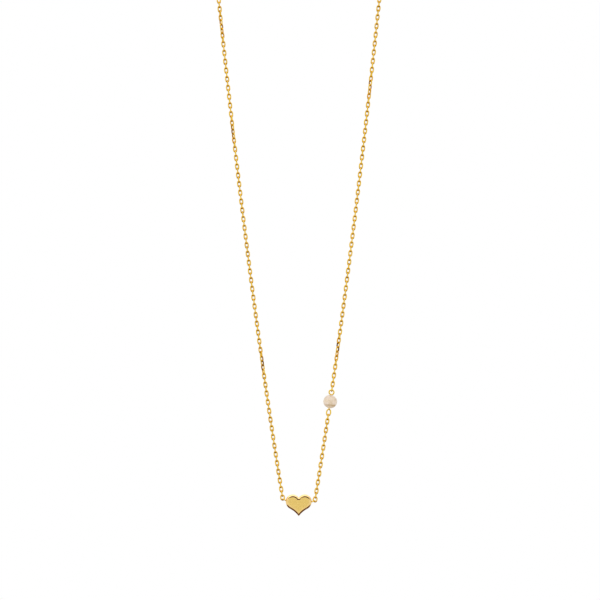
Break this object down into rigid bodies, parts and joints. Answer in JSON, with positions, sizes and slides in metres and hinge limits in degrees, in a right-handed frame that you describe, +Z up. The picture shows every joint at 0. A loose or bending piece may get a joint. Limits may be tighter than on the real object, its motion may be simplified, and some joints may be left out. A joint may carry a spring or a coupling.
{
  "type": "pendant necklace",
  "caption": "Long loop of fine gold-coloured cable chain with a small heart charm at its lowest point, a drilled pearl in the right strand and a spring ring clasp behind the neck.",
  "frame": {"origin": "middle of the round neck opening at the top of the loop, in the plane in which the necklace hangs", "axes": "+X to the right and +Y to the back as the heart is seen from its front, +Z up"},
  "size_m": [0.0524, 0.004, 0.2176],
  "materials": {
    "chain_gold": "polished gold plate on brass wire",
    "heart_gold": "satin gold plate with a brighter bevel",
    "clasp_gold": "polished gold plate on brass",
    "pearl": "cream freshwater pearl lustre",
    "spring_steel": "drawn spring wire"
  },
  "bodies": {
    "neck": {"chain_left_0": "chain_gold", "chain_right_0": "chain_gold"},
    "strands_1": {"chain_left_1": "chain_gold", "chain_right_1": "chain_gold"},
    "strands_2": {"chain_left_2": "chain_gold", "chain_right_2": "chain_gold"},
    "strands_3": {"chain_left_3": "chain_gold", "chain_right_3": "chain_gold"},
    "strands_4": {"chain_left_4": "chain_gold", "chain_right_4": "chain_gold"},
    "strands_5": {"chain_left_5": "chain_gold", "chain_right_5": "chain_gold"},
    "strands_6": {"chain_left_6": "chain_gold", "chain_right_6": "chain_gold"},
    "heart_rings": {"heart_ring_left": "chain_gold", "heart_ring_right": "chain_gold"},
    "heart": {"heart_charm": "heart_gold", "heart_eyelet_left": "chain_gold", "heart_eyelet_right": "chain_gold"},
    "eye_pin": {"eye_pin": "chain_gold"},
    "pearl": {"pearl": "pearl"},
    "jump_ring_clasp": {"jump_ring_clasp": "clasp_gold"},
    "clasp": {"clasp_case": "clasp_gold", "clasp_eyelet": "clasp_gold", "clasp_spring": "spring_steel"},
    "trigger": {"clasp_bolt": "clasp_gold", "clasp_thumb_knob": "clasp_gold"},
    "end_ring": {"end_ring": "clasp_gold"},
    "jump_ring_end": {"jump_ring_end": "clasp_gold"}
  },
  "joints": [
    {"name": "fold_1", "type": "hinge", "parent": "neck", "child": "strands_1", "pos_m": [0.00001, 0, -0.00776], "axis": [1, 0, 0.0032], "range_deg": [-45, 45]},
    {"name": "fold_2", "type": "hinge", "parent": "strands_1", "child": "strands_2", "pos_m": [0.00001, 0, -0.0428], "axis": [1, 0, 0.0037], "range_deg": [-45, 45]},
    {"name": "fold_3", "type": "hinge", "parent": "strands_2", "child": "strands_3", "pos_m": [0.00001, 0, -0.07344], "axis": [1, 0, 0.0043], "range_deg": [-45, 45]},
    {"name": "fold_4", "type": "hinge", "parent": "strands_3", "child": "strands_4", "pos_m": [0.00001, 0, -0.09968], "axis": [1, 0, 0.0051], "range_deg": [-45, 45]},
    {"name": "fold_5", "type": "hinge", "parent": "strands_4", "child": "strands_5", "pos_m": [0.00001, 0, -0.13679], "axis": [1, 0, 0.0072], "range_deg": [-45, 45]},
    {"name": "fold_6", "type": "hinge", "parent": "strands_5", "child": "strands_6", "pos_m": [-0.00003, 0, -0.17411], "axis": [0.9992, 0, -0.0391], "range_deg": [-45, 45]},
    {"name": "heart_ring_swing", "type": "hinge", "parent": "strands_6", "child": "heart_rings", "pos_m": [-0.00004, 0, -0.18354], "axis": [0.9986, 0, -0.0531], "range_deg": [-60, 60]},
    {"name": "heart_swing", "type": "hinge", "parent": "heart_rings", "child": "heart", "pos_m": [-0.00004, 0, -0.18483], "axis": [0.9984, 0, -0.0558], "range_deg": [-35, 35]},
    {"name": "eye_pin_roll", "type": "hinge", "parent": "strands_5", "child": "eye_pin", "pos_m": [0.00775, 0, -0.16026], "axis": [0.1445, 0, 0.9895], "range_deg": [-25, 25]},
    {"name": "pearl_spin", "type": "hinge", "parent": "eye_pin", "child": "pearl", "pos_m": [0.00775, 0, -0.16026], "axis": [0.1445, 0, 0.9895], "continuous": true},
    {"name": "jump_ring_clasp_roll", "type": "hinge", "parent": "neck", "child": "jump_ring_clasp", "pos_m": [0.00413, 0, 0.02531], "axis": [0.9869, 0, -0.1612], "range_deg": [-15, 15]},
    {"name": "clasp_roll", "type": "hinge", "parent": "neck", "child": "clasp", "pos_m": [0.00074, 0, 0.02551], "axis": [0.9996, 0, -0.029], "range_deg": [-25, 25]},
    {"name": "end_ring_roll", "type": "hinge", "parent": "neck", "child": "end_ring", "pos_m": [-0.00325, 0, 0.02541], "axis": [0.9919, 0, 0.1269], "range_deg": [-25, 25]},
    {"name": "jump_ring_end_roll", "type": "hinge", "parent": "neck", "child": "jump_ring_end", "pos_m": [-0.00537, 0, 0.02507], "axis": [0.9778, 0, 0.2095], "range_deg": [-15, 15]},
    {"name": "bolt_draw", "type": "hinge", "parent": "clasp", "child": "trigger", "pos_m": [-0.00044, 0, 0.02554], "axis": [0, 1, 0], "range_deg": [0, 58], "stiffness_Nm_per_rad": 0.002, "springref_deg": -5.73, "deforming": ["clasp_spring"]}
  ]
}
